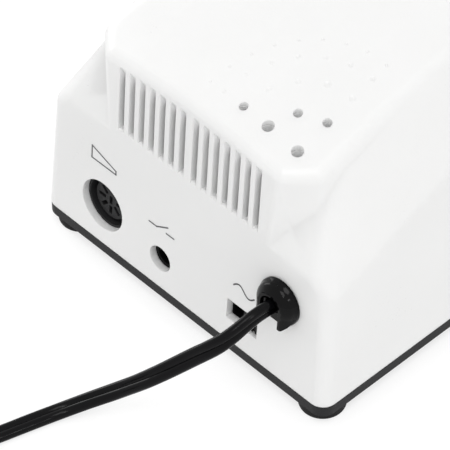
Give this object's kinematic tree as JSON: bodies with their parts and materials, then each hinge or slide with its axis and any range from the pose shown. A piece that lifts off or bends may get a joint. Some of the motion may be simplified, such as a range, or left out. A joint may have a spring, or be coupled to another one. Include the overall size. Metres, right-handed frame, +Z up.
{
  "type": "nail drill machine",
  "caption": "Desktop control box of a nail drill: wedge-shaped housing on a dark base, vented hump, bit wells in the deck, pedal sockets, voltage selector, front controls and a mains cord.",
  "frame": {"origin": "middle of the box on the table, under its feet, halfway between the front lip and the end of the cord bush", "axes": "+Z up, +Y to the rear panel with the sockets, +X to the right of a person who sits at the front"},
  "size_m": [0.1446, 0.3313, 0.0984],
  "materials": {
    "white_shell": "fine satin",
    "dark_trim": "fine matt",
    "foot_rubber": "matt",
    "black_plastic": "satin",
    "gloss_black": "gloss",
    "grey_plastic": "satin",
    "pale_plastic": "satin",
    "steel": "plated",
    "contact_brass": "plated",
    "green_lens": "clear tinted",
    "core_iron": "varnished stack",
    "winding": "taped",
    "board_green": "solder mask",
    "sleeve_blue": "shrink sleeve",
    "bare_aluminium": "extruded",
    "fuse_glass": "clear",
    "cord_jacket": "soft vinyl"
  },
  "bodies": {
    "box": {"housing": "white_shell", "base_plate": "dark_trim", "feet": "foot_rubber", "housing_screws": "steel", "front_panel": "dark_trim", "bit_block": "pale_plastic", "bit_tubes": "white_shell", "bit_block_screws": "steel", "cord_bush": "gloss_black", "bush_wedge": "gloss_black", "din_body": "black_plastic", "din_shell": "steel", "din_insert": "grey_plastic", "din_contacts": "contact_brass", "jack_body": "black_plastic", "jack_contact": "steel", "selector_body": "black_plastic", "power_switch": "black_plastic", "mode_switch": "black_plastic", "direction_switch": "black_plastic", "switch_terminals": "contact_brass", "speed_pot": "steel", "pot_nut": "steel", "led_holder": "black_plastic", "led_lens": "green_lens", "handpiece_socket": "grey_plastic", "handpiece_nut": "steel", "transformer_core": "core_iron", "transformer_bobbin": "pale_plastic", "transformer_winding": "winding", "transformer_strap": "steel", "strap_screws": "steel", "circuit_board": "board_green", "board_screws": "steel", "capacitor": "sleeve_blue", "rectifier": "black_plastic", "heat_sink": "bare_aluminium", "power_transistor": "black_plastic", "fuse": "fuse_glass", "fuse_clips": "contact_brass", "cord_lead": "cord_jacket", "cord_coil": "cord_jacket", "cord_tie": "black_plastic", "plug_body": "black_plastic", "plug_blades": "steel"},
    "power_rocker": {"power_rocker": "black_plastic"},
    "mode_rocker": {"mode_rocker": "black_plastic"},
    "direction_rocker": {"direction_rocker": "black_plastic"},
    "speed_knob": {"pot_shaft": "steel", "speed_knob": "grey_plastic", "knob_pointer": "white_shell"},
    "selector_slider": {"selector_slider": "black_plastic"}
  },
  "joints": [
    {"name": "power_rock", "type": "hinge", "parent": "box", "child": "power_rocker", "pos_m": [-0.028, -0.05548, 0.037], "axis": [1, 0, 0], "range_deg": [0, 18]},
    {"name": "mode_rock", "type": "hinge", "parent": "box", "child": "mode_rocker", "pos_m": [0, -0.05548, 0.037], "axis": [1, 0, 0], "range_deg": [0, 18]},
    {"name": "direction_rock", "type": "hinge", "parent": "box", "child": "direction_rocker", "pos_m": [0.028, -0.05548, 0.037], "axis": [1, 0, 0], "range_deg": [0, 18]},
    {"name": "speed_turn", "type": "hinge", "parent": "box", "child": "speed_knob", "pos_m": [0, -0.03715, 0.066], "axis": [0, -0.766, 0.6428], "range_deg": [-150, 150]},
    {"name": "selector_slide", "type": "slide", "parent": "box", "child": "selector_slider", "axis": [1, 0, 0], "range_m": [0, 0.005]}
  ]
}
